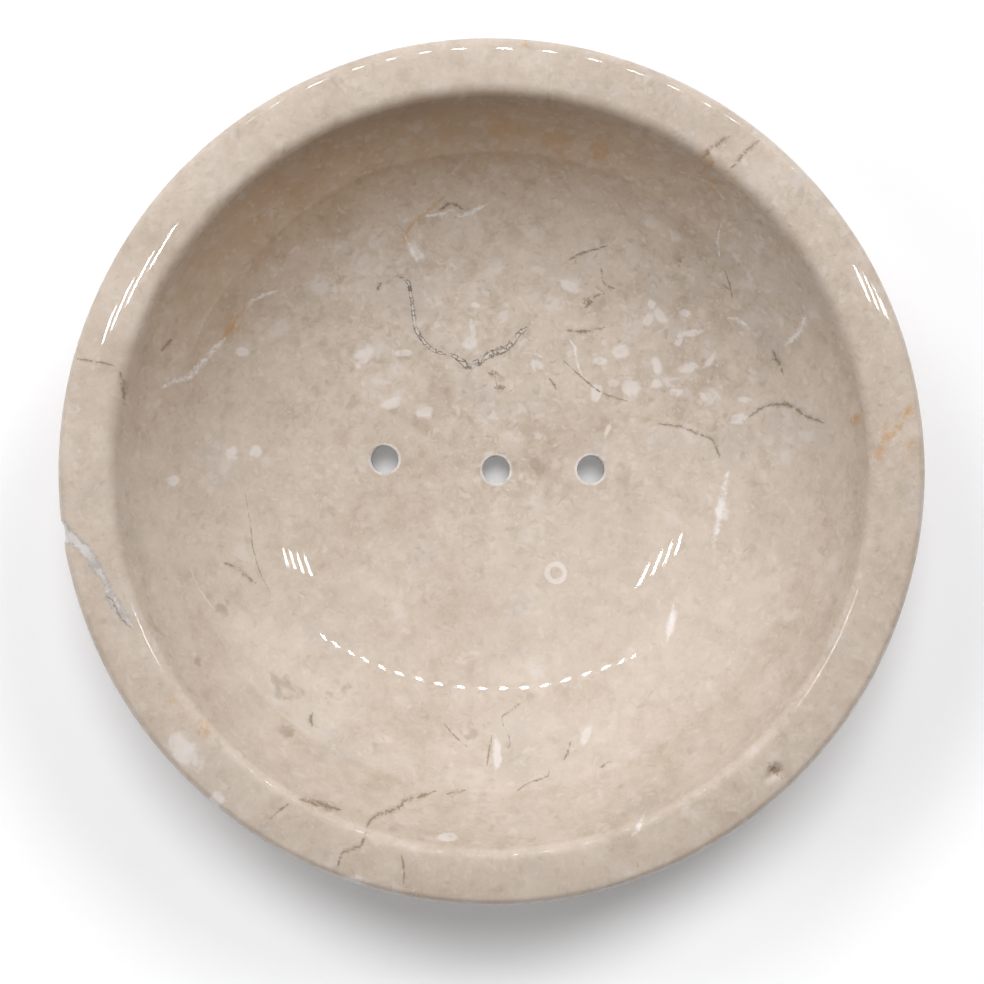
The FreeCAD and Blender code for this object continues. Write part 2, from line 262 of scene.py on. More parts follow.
# Patches, each a list of (pixel, reach) for one kind
PATCHES = {
    "rust": [((891, 432), 2.6), ((911, 446), 2.4), ((909, 412), 1.8), ((878, 455), 2.0), ((859, 421), 2.0),
             ((708, 157), 1.8), ((734, 180), 1.5), ((712, 186), 1.4), ((406, 238), 1.8), ((232, 328), 2.0),
             ((560, 140), 3.4), ((600, 150), 3.0), ((500, 130), 3.2), ((182, 712), 1.4), ((204, 729), 2.0),
             ((168, 700), 1.6), ((525, 43), 1.4)],
    "brown": [((280, 682), 2.2), ((292, 691), 1.8), ((332, 697), 1.6), ((287, 731), 1.8), ((472, 734), 1.7),
              ((200, 659), 1.2), ((222, 607), 1.4), ((540, 470), 1.6), ((535, 460), 1.3), ((345, 688), 1.3),
              ((500, 380), 1.2)],
    "bruised": [((496, 472), 3.2)],
    "gray": [((412, 292), 4.0), ((424, 315), 3.0), ((786, 425), 3.6), ((812, 430), 3.0), ((522, 762), 3.4),
             ((720, 250), 5.0), ((790, 300), 4.5), ((716, 440), 2.0), ((745, 235), 5.0), ((212, 770), 3.5),
             ((96, 566), 1.6), ((110, 590), 2.0), ((121, 612), 2.2), ((520, 735), 4.0), ((538, 763), 2.6)],
    "lively": [((400, 300), 20.0), ((500, 330), 22.0), ((620, 330), 22.0), ((700, 380), 16.0),
               ((500, 440), 16.0), ((720, 250), 12.0)],
    "fossil_bed": [((660, 330), 5.0), ((690, 360), 5.0), ((625, 372), 4.5), ((655, 385), 4.0),
                   ((640, 310), 4.0), ((372, 350), 4.0), ((396, 396), 4.0), ((480, 320), 4.0),
                   ((440, 340), 4.0), ((560, 370), 4.0), ((700, 410), 3.5), ((330, 470), 4.0),
                   ((570, 560), 3.5), ((480, 380), 4.0)],
}

# Single pale fossils: (pixel, half length, half width, degrees anticlockwise from X)
FOSSILS = [
    ((364, 356), 2.1, 1.45, 60), ((392, 402), 2.0, 0.85, 32), ((416, 252), 1.6, 0.8, -60),
    ((470, 343), 1.5, 0.9, 20), ((404, 353), 1.6, 0.5, 3), ((473, 330), 1.7, 0.42, -82),
    ((475, 305), 0.8, 0.4, -10), ((571, 286), 1.8, 0.8, -25), ((631, 387), 1.7, 1.2, -50),
    ((688, 368), 1.6, 0.75, 8), ((661, 317), 1.6, 0.75, -60), ((679, 340), 1.2, 0.55, 80),
    ((692, 333), 1.6, 0.5, 8), ((652, 305), 0.8, 0.7, 0), ((686, 313), 1.0, 0.5, -10),
    ((657, 366), 1.4, 0.7, 110), ((600, 361), 1.4, 0.55, 0), ((622, 352), 1.4, 1.0, 20),
    ((676, 392), 1.6, 0.6, 5), ((656, 384), 0.8, 0.7, 0), ((744, 400), 1.0, 0.5, -15),
    ((608, 430), 1.4, 0.35, 70), ((497, 754), 2.4, 0.7, 90), ((648, 320), 1.0, 0.7, 45),
    ((705, 398), 1.0, 0.6, -50), ((596, 393), 1.2, 0.9, 90), ((710, 361), 1.3, 0.55, 55),
    ((738, 419), 1.3, 0.7, 20), ((537, 365), 1.0, 0.9, -70), ((424, 412), 1.3, 1.1, 0),
    ((722, 512), 1.4, 1.0, 80), ((586, 736), 1.6, 0.7, 60), ((672, 622), 2.6, 0.6, 75),
    ((185, 752), 3.2, 1.6, -50), ((216, 800), 1.6, 1.0, 40), ((252, 842), 1.3, 1.1, 0),
    ((174, 480), 1.0, 0.75, 0), ((232, 454), 1.0, 0.9, 60), ((256, 452), 1.0, 0.9, 0),
    ((243, 352), 0.9, 0.7, 0), ((355, 882), 1.8, 1.2, 10), ((448, 838), 1.5, 0.7, 5),
]
RING_FOSSIL = ((556, 573), 1.25, 0.4)   # pixel, radius of its middle line and half thickness

# Painted warm shade on the bowl's wall at the back, under the rim, where that wall lies in shade
PAINTED_SHADE_R = 50.0               # where it is strongest
PAINTED_SHADE_REACH = 9.0
PAINTED_SHADE_MIDDLE = 107.0         # degrees anticlockwise from +X
PAINTED_SHADE_FULL, PAINTED_SHADE_END = 22.0, 72.0    # degrees round from its middle to where it weakens and where it ends
PAINTED_SHADE_EDGE, PAINTED_SHADE_EDGE_FADE = 53.0, 2.0   # where it ends at the bowl's edge, and over what width

# How the veins run in the stone
VEIN_LEAN = (0.35, -0.25)   # along X and Y as they go down, as shares of the depth
FAR_OFF = 99.0
VEIN_REACH = 4.0            # beyond this from its route a vein is not looked for
VEIN_NEAR = 3.5             # half widths within which a vein can show
ROUTE_STEP = 0.6
TAPER_POWER, TAPER_LEAST = 0.4, 0.15    # how a vein thins towards its ends, and how far

# Hand finish and its flaws
HONED_RISE, HONED_FADE = 0.5, 0.4       # how far up the stone is honed, and over what height that fades
OUT_OF_ROUND, OUT_OF_ROUND_LENGTH = 0.2, 22.0
RIM_FLAW_START, RIM_FLAW_SPAN = 0.75, 0.2   # shares of the radius over which the rim goes out of round
WAVE_LENGTH, WAVE_DEPTH = 13.0, 0.035
RIPPLE_LENGTH, RIPPLE_DEPTH = 4.5, 0.006
WAVE_SEED, RIPPLE_SEED, ROUND_SEED, CHIP_SEED, CRUMBLE_SEED = 1, 2, 3, 4, 7
SEED_SHIFT = (17.3, 5.1, 9.7)
TOP_SKIN = 1.5              # how far under the bowl or rim a point still counts as its surface
CHIP_RAGGED, CHIP_RAGGED_LENGTH = 0.5, 0.9
CHIP_STEEPNESS = 1.5
# Chips: (pixel, reach across, depth)
CHIPS = {
    "left_notch": ((60, 533), 1.6, 0.35),
    "left_notch_tail": ((70, 545), 1.2, 0.15),
    "front_right_pit": ((777, 771), 1.0, 0.45),
    "front_right_pit_tail": ((770, 778), 0.8, 0.25),
    "middle_hole_chip": ((497, 487), 2.0, 0.16),
    "middle_hole_chip_left": ((483, 478), 1.4, 0.12),
    "middle_hole_chip_right": ((512, 476), 1.6, 0.14),
}


def ring_size(radius):
    count = RING_MOST
    while count > RING_LEAST and math.tau * radius / count < FACE_LEAST:
        count //= 2
    return count


def stitch(outer, inner):
    """Faces between two rings, where the first has as many corners as the second or twice as many."""
    steps = len(outer) // len(inner)
    faces = []
    for k, corner in enumerate(inner):
        following = inner[(k + 1) % len(inner)]
        edge = [outer[(k * steps + j) % len(outer)] for j in range(steps + 1)]
        if steps == 1:
            faces.append((edge[0], edge[1], following, corner))
        else:
            faces += [(edge[0], edge[1], corner), (edge[1], following, corner),
                      (edge[1], edge[2], following)]
    return faces


def lathe(section):
    """Closed mesh turned from a section that starts and ends on the axis."""
    points, rings, faces = [], [], []
    for radius, height in section:
        if radius < FACE_LEAST:
            rings.append([len(points)])
            points.append((0.0, 0.0, height))
            continue
        count = ring_size(radius)
        rings.append(range(len(points), len(points) + count))
        for angle in np.arange(count) * math.tau / count:
            points.append((radius * math.cos(angle), radius * math.sin(angle), height))
    for one, two in zip(rings, rings[1:]):
        if len(one) == 1 or len(two) == 1:
            hub, rim = (one[0], two) if len(one) == 1 else (two[0], one)
            faces += [(hub, rim[k], rim[(k + 1) % len(rim)]) for k in range(len(rim))]
        elif len(one) >= len(two):
            faces += stitch(one, two)
        else:
            faces += stitch(two, one)
    return np.array(points), faces


def waves(points, length, seed):
    """Smooth noise from -1 to 1 at each point."""
    shift = Vector([seed * step for step in SEED_SHIFT])
    return np.array([noise.noise(Vector(p) / length + shift) for p in points])


def flaws(points):
    """How far each point of the stone lies under the true turned surface."""
    radius = np.hypot(points[:, 0], points[:, 1])
    depth = WAVE_DEPTH * (1 + waves(points, WAVE_LENGTH, WAVE_SEED))
    depth += RIPPLE_DEPTH * (1 + waves(points, RIPPLE_LENGTH, RIPPLE_SEED))
    rim = np.clip((radius - RIM_FLAW_START * OUTER_R) / (RIM_FLAW_SPAN * OUTER_R), 0, 1)
    round_rim = np.column_stack([points[:, :2] / np.maximum(radius, 1)[:, None] * OUTER_R, 0 * radius])
    depth += OUT_OF_ROUND * 0.5 * (1 + waves(round_rim, OUT_OF_ROUND_LENGTH, ROUND_SEED)) * rim
    over_top = points[:, 2] > top_height(radius) - TOP_SKIN
    ragged = 1 + CHIP_RAGGED * waves(points, CHIP_RAGGED_LENGTH, CHIP_SEED)
    for pixel, reach, deep in CHIPS.values():
        away = np.hypot(*(points[:, :2] - stone_place(pixel)).T) * ragged
        depth += deep * np.clip(CHIP_STEEPNESS * (1 - (away / reach) ** 2), 0, 1) * over_top
    return depth


def mesh_object(name, points, faces):
    mesh = bpy.data.meshes.new(name)
    mesh.from_pydata(points * MM, [], faces)
    work = bmesh.new()
    work.from_mesh(mesh)
    bmesh.ops.recalc_face_normals(work, faces=work.faces)
    work.to_mesh(mesh)
    work.free()
    thing = bpy.data.objects.new(name, mesh)
    bpy.context.scene.collection.objects.link(thing)
    return thing


def hole_cutter(name, place):
    """Ragged drill shape that flares where the drill bruised the bowl's floor and the base."""
    x, y = place
    floor = float(top_height(math.hypot(x, y)))
    knee_out, knee_down = BEVEL_KNEE
    section = [(0.0, BASE_Z - DRILL_BELOW), (HOLE_R + HOLE_BEVEL + DRILL_BELOW, BASE_Z - DRILL_BELOW),
               (HOLE_R, BASE_Z + HOLE_BEVEL), (HOLE_R, floor - HOLE_BEVEL),
               (HOLE_R + knee_out * HOLE_BEVEL, floor - knee_down * HOLE_BEVEL),
               (HOLE_R + HOLE_BEVEL + DRILL_ABOVE, floor + DRILL_ABOVE), (0.0, floor + DRILL_ABOVE)]
    steps = []
    for (r1, z1), (r2, z2) in zip(section, section[1:]):
        pieces = max(1, math.ceil(math.hypot(r2 - r1, z2 - z1) / DRILL_STEP))
        steps += [(r1 + (r2 - r1) * k / pieces, z1 + (z2 - z1) * k / pieces) for k in range(pieces)]
    points, faces = lathe(steps + [section[-1]])
    radius = np.hypot(points[:, 0], points[:, 1])
    bruised = np.clip((radius - HOLE_R) / HOLE_BEVEL, BRUISE_LEAST, 1)
    grow = 1 + CHATTER * bruised * waves(points, CHATTER_LENGTH, len(name))
    grow += CRUMBLE * bruised * waves(points, CRUMBLE_LENGTH, CRUMBLE_SEED)
    points[:, :2] = points[:, :2] * grow[:, None] + (x, y)
    return mesh_object(name, points, faces)


def drill(stone):
    """Cut the drain holes through the stone."""
    cutters = [hole_cutter("drill_" + name, place) for name, place in HOLES.items()]
    for cutter in cutters:
        cut = stone.modifiers.new(cutter.name, "BOOLEAN")
        cut.object = cutter
        cut.operation = "DIFFERENCE"
        cut.solver = "EXACT"
    graph = bpy.context.evaluated_depsgraph_get()
    drilled = bpy.data.meshes.new_from_object(stone.evaluated_get(graph))
    stone.modifiers.clear()
    stone.data = drilled
    for cutter in cutters:
        bpy.data.objects.remove(cutter)


def smooth_route(route):
    """Points close together on a smooth line through the places of some pixels."""
    places = np.array([stone_place(pixel) for pixel in route])
    padded = np.vstack([2 * places[0] - places[1], places, 2 * places[-1] - places[-2]])
    line = []
    for a, b, c, d in zip(padded, padded[1:], padded[2:], padded[3:]):
        for t in np.linspace(0, 1, max(2, math.ceil(math.dist(b, c) / ROUTE_STEP)), endpoint=False):
            line.append(0.5 * (2 * b + (c - a) * t + (2 * a - 5 * b + 4 * c - d) * t ** 2
                               + (3 * b - a - 3 * c + d) * t ** 3))
    return np.array(line + [places[-1]])


def across_vein(flat, vein):
    """Signed distance of each point from a vein in half widths, which shrink towards the vein's ends."""
    line = smooth_route(vein.route)
    across = np.full(len(flat), FAR_OFF)
    inside = np.all((flat > line.min(0) - VEIN_REACH) & (flat < line.max(0) + VEIN_REACH), axis=1)
    here = flat[inside]
    best, side, share = (np.full(len(here), fill) for fill in (FAR_OFF, 1.0, 0.0))
    for k, (start, end) in enumerate(zip(line, line[1:])):
        run = end - start
        t = np.clip((here - start) @ run / (run @ run), 0, 1)
        off = here - start - t[:, None] * run
        gap = np.hypot(*off.T)
        nearer = gap < best
        best[nearer] = gap[nearer]
        side[nearer] = np.where(run[0] * off[:, 1] - run[1] * off[:, 0] < 0, -1, 1)[nearer]
        share[nearer] = (k + t[nearer]) / (len(line) - 1)
    taper = np.clip(4 * share * (1 - share), 0.0, 1) ** TAPER_POWER
    across[inside] = side * best / (vein.half_width * np.maximum(taper, TAPER_LEAST))
    return across


def leaning(points):
    """The place on the bowl or rim that a point of the stone belongs to, because the veins lean."""
    radius = np.hypot(points[:, 0], points[:, 1])
    depth = np.maximum(top_height(radius) - points[:, 2], 0)
    return points[:, :2] + depth[:, None] * VEIN_LEAN


def painted_wall_shade(points):
    """How far each point has the painted warm shade of the back wall, from 0 to 1."""
    radius = np.hypot(points[:, 0], points[:, 1])
    over_top = points[:, 2] > top_height(radius) - TOP_SKIN
    in_bowl = np.clip((PAINTED_SHADE_EDGE - radius) / PAINTED_SHADE_EDGE_FADE, 0, 1) * over_top
    degrees = np.degrees(np.arctan2(points[:, 1], points[:, 0]))
    from_middle = np.abs((degrees - PAINTED_SHADE_MIDDLE + 180) % 360 - 180)
    round_back = np.clip((PAINTED_SHADE_END - from_middle) / (PAINTED_SHADE_END - PAINTED_SHADE_FULL), 0, 1)
    return np.exp(-((radius - PAINTED_SHADE_R) / PAINTED_SHADE_REACH) ** 2) * in_bowl * round_back


def add_field(mesh, name, values):
    field = mesh.attributes.new(name, "FLOAT", "POINT")
    field.data.foreach_set("value", values.astype(np.float32))


def add_marks(mesh):
    """Store on each point of the mesh how it lies to the veins, patches, fossils and holes."""
    points = np.empty(len(mesh.vertices) * 3)
    mesh.vertices.foreach_get("co", points)
    points = points.reshape(-1, 3) / MM
    flat = leaning(points)
    for kind in sorted({vein.kind for vein in VEINS.values()}):
        nearest = np.full(len(flat), FAR_OFF)
        for vein in VEINS.values():
            if vein.kind == kind:
                across = across_vein(flat, vein)
                nearest = np.where(np.abs(across) < np.abs(nearest), across, nearest)
        add_field(mesh, kind, nearest)
        add_field(mesh, kind + "_near", np.clip(VEIN_NEAR - np.abs(nearest), 0, 1))
    for kind, spots in PATCHES.items():
        total = np.zeros(len(flat))
        for pixel, reach in spots:
            away = np.hypot(*(flat - stone_place(pixel)).T)
            total = np.maximum(total, np.exp(-(away / reach) ** 2))
        add_field(mesh, kind, total)
    pale = np.full(len(flat), -1.0)
    for pixel, half_length, half_width, degrees in FOSSILS:
        off = flat - stone_place(pixel)
        turn = math.radians(degrees)
        lengthwise = off[:, 0] * math.cos(turn) + off[:, 1] * math.sin(turn)
        sideways = off[:, 1] * math.cos(turn) - off[:, 0] * math.sin(turn)
        pale = np.maximum(pale, 1 - np.hypot(lengthwise / half_length, sideways / half_width))
    pixel, ring_r, half_thick = RING_FOSSIL
    ring_off = np.abs(np.hypot(*(flat - stone_place(pixel)).T) - ring_r)
    add_field(mesh, "pale", np.maximum(pale, 1 - ring_off / half_thick))
    from_hole = np.min([np.hypot(*(points[:, :2] - place).T) for place in HOLES.values()], axis=0)
    add_field(mesh, "from_hole", from_hole - HOLE_R)
    # painted warm shade of the back wall, which lies in shade
    add_field(mesh, "painted_warm_shade", painted_wall_shade(points))
    add_field(mesh, "honed", np.clip((BASE_Z + HONED_RISE - points[:, 2]) / HONED_FADE, 0, 1))


class Look:
    """A material's nodes, with short calls for the kinds used here."""

    def __init__(self, name):
        self.material = bpy.data.materials.new(name)
        self.material.use_nodes = True
        self.tree = self.material.node_tree
        self.shader = self.tree.nodes["Principled BSDF"]

    def node(self, kind, inputs=(), **settings):
        made = self.tree.nodes.new("ShaderNode" + kind)
        for name, value in settings.items():
            setattr(made, name, value)
        for name, value in dict(inputs).items():
            self.put(made.inputs[name], value)
        return made

    def put(self, socket, value):
        if isinstance(value, bpy.types.NodeSocket):
            self.tree.links.new(value, socket)
        else:
            socket.default_value = value

    def set(self, inputs):
        for name, value in inputs.items():
            self.put(self.shader.inputs[name], value)

    def math(self, operation, *values):
        return self.node("Math", enumerate(values), operation=operation).outputs[0]

    def times(self, first, *others):
        product = first
        for other in others:
            product = self.math("MULTIPLY", product, other)
        return product

    def vector(self, operation, *values):
        made = self.node("VectorMath", enumerate(values), operation=operation)
        return made.outputs["Value" if operation == "LENGTH" else "Vector"]

    def millimetres(self):
        """Where a point of the object lies, in millimetres."""
        return self.vector("MULTIPLY", self.node("TexCoord").outputs["Object"], (1 / MM,) * 3)

    def fade(self, value, start, end):
        """0 at start, 1 at end, smooth in between."""
        steps = {"Value": value, "From Min": start, "From Max": end}
        return self.node("MapRange", steps, interpolation_type="SMOOTHSTEP").outputs["Result"]

    def scale(self, value, low, high):
        """A value from 0 to 1, stretched from low to high."""
        return self.node("MapRange", {"Value": value, "To Min": low, "To Max": high}).outputs["Result"]

    def mix(self, share, first, second):
        made = self.node("Mix", data_type="RGBA")
        for place, value in ((0, share), (6, first), (7, second)):
            self.put(made.inputs[place], value)
        return made.outputs[2]

    def noise(self, where, scale, detail=3.0, rough=0.55, output="Fac"):
        inputs = {"Vector": where, "Scale": scale, "Detail": detail, "Roughness": rough}
        return self.node("TexNoise", inputs).outputs[output]

    def edges(self, where, scale):
        """How far a place is from the edges of a crazed pattern."""
        made = self.node("TexVoronoi", {"Vector": where, "Scale": scale}, feature="DISTANCE_TO_EDGE")
        return made.outputs["Distance"]

    def field(self, name):
        return self.node("Attribute", attribute_name=name).outputs["Fac"]

    def chosen(self, inside, chance, pale, dark):
        """Of bits drawn up to 1 inside, a pale share and a dark share, some of them faint."""
        inside = self.times(inside, self.scale(chance[1], 0.25, 1.0))
        low_draw = self.math("LESS_THAN", chance[0], pale)
        high_draw = self.math("GREATER_THAN", chance[0], 1.0 - dark)
        return self.times(inside, low_draw), self.times(inside, high_draw)

    def fragments(self, where, scale, pale, dark, softness=0.3):
        """Angular bits like broken shell, each in a cell of a crazed pattern."""
        cell = self.node("TexVoronoi", {"Vector": where, "Scale": scale})
        chance = self.node("SeparateColor", {"Color": cell.outputs["Color"]}).outputs
        return self.chosen(self.fade(self.edges(where, scale), 0.0, softness), chance, pale, dark)

    def shards(self, where, scale, pale, dark, shape, softness=0.7):
        """Round or long bits, turned at random. Shape is the half size along three axes, in cells."""
        spread = self.vector("MULTIPLY", where, (scale,) * 3)
        cell = self.node("TexVoronoi", {"Vector": spread, "Scale": 1.0})
        local = self.vector("SUBTRACT", spread, cell.outputs["Position"])
        turn = self.vector("MULTIPLY", cell.outputs["Color"], (math.tau,) * 3)
        turned = self.node("VectorRotate", {"Vector": local, "Rotation": turn}, rotation_type="EULER_XYZ")
        chance = self.node("SeparateColor", {"Color": cell.outputs["Color"]}).outputs
        stretched = self.vector("DIVIDE", turned.outputs[0], shape)
        size = self.scale(chance[2], 0.5, 1.0)
        away = self.math("DIVIDE", self.vector("LENGTH", stretched), size)
        return self.chosen(self.fade(away, 1.0, 1.0 - softness), chance, pale, dark)

    def strongest(self, *layers):
        """Of some layers, each with how strong it may get, the one that is strongest at a place."""
        total = None
        for layer, strength in layers:
            layer = self.times(layer, strength)
            total = layer if total is None else self.math("MAXIMUM", total, layer)
        return total


def rgb(red, green, blue):
    return red, green, blue, 1.0


CREAM = rgb(0.582, 0.495, 0.421)
TAN = rgb(0.447, 0.361, 0.286)
PALE = rgb(0.68, 0.62, 0.58)
WHITE = rgb(0.74, 0.71, 0.69)
GRAY = rgb(0.45, 0.40, 0.355)
QUARTZ = rgb(0.61, 0.58, 0.57)
SLATE = rgb(0.36, 0.335, 0.335)
# colour of the painted warm shade on the back wall
PAINTED_SHADE_UMBER = rgb(0.48, 0.285, 0.135)
BROWN = rgb(0.22, 0.155, 0.10)
DARK = rgb(0.11, 0.085, 0.065)
RUST = rgb(0.49, 0.285, 0.13)
BRUISE = rgb(0.66, 0.63, 0.61)
RUBBER, RUBBER_PALE = rgb(0.55, 0.53, 0.49), rgb(0.68, 0.66, 0.62)
DUST = rgb(0.35, 0.32, 0.28)
FILM, FILM_PALE = rgb(0.66, 0.64, 0.56), rgb(0.77, 0.75, 0.68)
STONE_IOR = 1.52
PATTERN_SHIFT = (31.0, 17.0, 5.0)   # to where the same pattern looks different


class StoneLook(Look):
    """The polished stone. Each step lays colours over those before it. Noise scales are per millimetre."""

    def __init__(self):
        super().__init__("polished_stone")
        self.point = self.millimetres()
        self.warped = self.pushed(self.point, scale=0.4, reach=1.1)
        self.ragged = self.pushed(self.warped, scale=1.7, reach=0.22)
        self.elsewhere = self.vector("ADD", self.ragged, PATTERN_SHIFT)
        self.shiver = self.math("SUBTRACT", self.noise(self.point, scale=1.5, rough=0.75), 0.5)
        self.mottle = self.noise(self.warped, scale=0.27, detail=5.0, rough=0.76)
        self.grain = self.noise(self.point, scale=2.6, detail=2.0, rough=0.65)
        self.broken = self.fade(self.noise(self.point, scale=0.9, detail=4.0, rough=0.75), 0.36, 0.56)
        self.lively = self.scale(self.field("lively"), 0.62, 1.0)
        self.gray = self.field("gray")
        self.colour = self.ground()
        self.haze()
        self.fossils()
        self.patches()
        white, crack = self.veins()
        strands = self.crackle()
        bruise = self.hole_edges()
        self.polish(white, crack, strands, bruise)

    def pushed(self, where, scale, reach):
        """A place moved aside by noise, by up to a reach each way."""
        push = self.vector("SUBTRACT", self.noise(where, scale, detail=2.0, output="Color"), (0.5,) * 3)
        return self.vector("ADD", where, self.vector("MULTIPLY", push, (2 * reach,) * 3))

    def lay(self, share, colour):
        self.colour = self.mix(share, self.colour, colour)

    def ground(self):
        """Cream and tan, in wide clouds and a fine mottle."""
        clouds = self.fade(self.noise(self.point, scale=0.05, rough=0.65), 0.32, 0.68)
        swing = self.times(self.scale(self.mottle, -2.05, 2.05), self.lively)
        tone = self.math("ADD", self.times(clouds, 0.5), swing)
        return self.mix(self.fade(tone, -0.7, 1.0), TAN, CREAM)

    def haze(self):
        """Gray patches and haze, and the painted warm shade of the back wall."""
        gray = self.times(self.gray, self.fade(self.mottle, 0.3, 0.7), 0.6)
        haze = self.times(self.fade(self.noise(self.warped, scale=0.14), 0.56, 0.74), 0.45)
        self.lay(self.math("MAXIMUM", gray, haze), GRAY)
        # painted warm shade: the shaded back wall under the rim made browner
        self.lay(self.times(self.field("painted_warm_shade"), self.scale(self.mottle, 0.75, 0.45)), PAINTED_SHADE_UMBER)

    def fossils(self):
        """Pale fossils and bits of shell, then dark flecks and smudges."""
        patchy = self.fade(self.noise(self.point, scale=0.09, detail=2.0), 0.38, 0.62)
        common = self.math("MAXIMUM", self.field("fossil_bed"), self.times(patchy, self.lively, 0.55))
        large = self.fragments(self.ragged, scale=0.36, pale=self.scale(common, 0.04, 0.55), dark=0.12,
                               softness=0.4)
        middling = self.fragments(self.ragged, scale=0.75, pale=self.scale(common, 0.08, 0.42), dark=0.14)
        small = self.fragments(self.elsewhere, scale=1.4, pale=self.scale(common, 0.12, 0.36), dark=0.12)
        strokes = self.shards(self.ragged, scale=0.3, pale=0.22, dark=0.34, shape=(0.42, 0.05, 0.34),
                              softness=0.85)
        smudges = self.shards(self.elsewhere, scale=0.42, pale=0.0, dark=0.3, shape=(0.42, 0.11, 0.3),
                              softness=0.9)
        specks = self.shards(self.point, scale=0.6, pale=0.0, dark=0.17, shape=(0.17, 0.1, 0.13))

        uneven = self.math("SUBTRACT", self.noise(self.warped, scale=0.6, detail=2.0, rough=0.6), 0.5)
        placed = self.math("ADD", self.field("pale"), self.times(uneven, 1.5))
        placed = self.times(self.fade(placed, -0.2, 0.4), self.scale(self.mottle, 0.45, 1.25))
        strewn = self.strongest((large[0], 0.62), (middling[0], 0.5), (small[0], 0.4), (strokes[0], 0.55))
        self.lay(self.math("MAXIMUM", self.times(strewn, self.lively), placed), PALE)
        dirt = self.strongest((large[1], 0.2), (middling[1], 0.26), (small[1], 0.24), (strokes[1], 0.62),
                              (smudges[1], 0.42), (specks[1], 0.65))
        self.lay(self.times(dirt, self.lively), BROWN)

    def patch(self, kind, weight, outline, start, end):
        """Where a patch of some kind shows, with an outline broken by noise."""
        return self.fade(self.math("ADD", self.times(self.field(kind), weight), outline), start, end)

    def patches(self):
        fine = self.noise(self.ragged, scale=0.75, detail=4.0, rough=0.85)
        soft = self.noise(self.warped, scale=0.55, detail=2.0, rough=0.5)
        self.lay(self.times(self.patch("rust", 0.42, fine, start=0.74, end=1.1), 0.75), RUST)
        self.lay(self.times(self.patch("brown", 0.5, soft, start=0.76, end=1.05), 0.36), BROWN)
        self.lay(self.times(self.patch("bruised", 0.5, soft, start=0.72, end=1.05), 0.6), BRUISE)

    def across(self, kind, wander):
        """How far a place is from a vein that wanders sideways, in half widths."""
        return self.math("ABSOLUTE", self.math("ADD", self.field(kind), self.times(self.shiver, wander)))

    def line(self, kind, wander, start, end):
        """1 on a vein's own line, 0 well beside it."""
        return self.times(self.fade(self.across(kind, wander), start, end), self.field(kind + "_near"))

    def flanks(self, kind, wander, offset, start, end):
        """1 on the two lines that run beside a vein at an offset, 0 well away from them."""
        off = self.math("ABSOLUTE", self.math("SUBTRACT", self.across(kind, wander), offset))
        return self.times(self.fade(off, start, end), self.field(kind + "_near"))

    def veins(self):
        """Rust lines, white calcite and pale streaks of painted sheen, quartz with its slate border, and
        brown cracks with their stain.
        """
        nearly_whole = self.scale(self.broken, 0.1, 1.0)
        rusty = self.times(self.line("rust_line", wander=3.5, start=1.4, end=0.1), self.broken)
        self.lay(self.times(rusty, 0.6), RUST)
        # white calcite veins, and pale streaks of painted sheen
        white = self.times(self.line("calcite", wander=3.5, start=1.5, end=0.1), nearly_whole)
        self.lay(self.times(white, 0.75), WHITE)
        quartz = self.line("quartz", wander=3.6, start=1.5, end=0.4)
        quartz = self.times(quartz, self.scale(self.gray, 0.9, 0.6))
        self.lay(quartz, self.mix(self.times(self.gray, self.broken), QUARTZ, SLATE))
        border = self.flanks("quartz", wander=3.6, offset=1.2, start=0.6, end=0.0)
        self.lay(self.times(border, self.scale(self.broken, 0.2, 0.8)), SLATE)
        stain = self.times(self.line("crack", wander=4.5, start=2.6, end=0.2), self.broken)
        self.lay(self.times(stain, 0.36), BROWN)
        crack = self.times(self.line("crack", wander=4.0, start=1.0, end=0.0), nearly_whole)
        self.lay(self.times(crack, 0.85), BROWN)
        return white, crack

    def crackle(self):
        """A whitish band that dark strands cross and border."""
        band = self.line("crackle", wander=2.6, start=1.3, end=0.9)
        self.lay(self.times(band, 0.22), WHITE)
        crossing = self.times(self.fade(self.edges(self.ragged, 0.85), 0.13, 0.02), band)
        sides = self.flanks("crackle", wander=2.6, offset=0.75, start=0.42, end=0.05)
        strands = self.times(self.math("MAXIMUM", crossing, sides), self.scale(self.broken, 0.2, 1.0))
        self.lay(self.times(strands, 0.88), DARK)
        return strands

    def hole_edges(self):
        """Pale stone where the drill bruised it."""
        from_hole = self.math("ADD", self.field("from_hole"), self.times(self.shiver, 0.35))
        bruise = self.times(self.fade(from_hole, 0.5, 0.15), self.scale(self.broken, 0.35, 0.8))
        self.lay(bruise, BRUISE)
        return bruise

    def polish(self, white, crack, strands, bruise):
        """Smooth, but rough in flaws and bruises and on the honed base, with the flaws a little sunk."""
        flaw = self.math("MAXIMUM", self.math("MAXIMUM", crack, strands), self.times(white, 0.5))
        rough = self.math("ADD", self.scale(self.grain, 0.02, 0.05), self.times(flaw, 0.25))
        rough = self.math("MAXIMUM", rough, self.times(self.field("honed"), 0.45))
        rough = self.math("MAXIMUM", rough, self.times(bruise, 0.6))
        relief = self.math("SUBTRACT", self.times(self.grain, 0.02), flaw)
        bump = self.node("Bump", {"Height": relief, "Strength": 0.35, "Distance": 0.05 * MM})
        self.set({"Base Color": self.colour, "Roughness": rough, "Normal": bump.outputs[0],
                  "IOR": STONE_IOR})


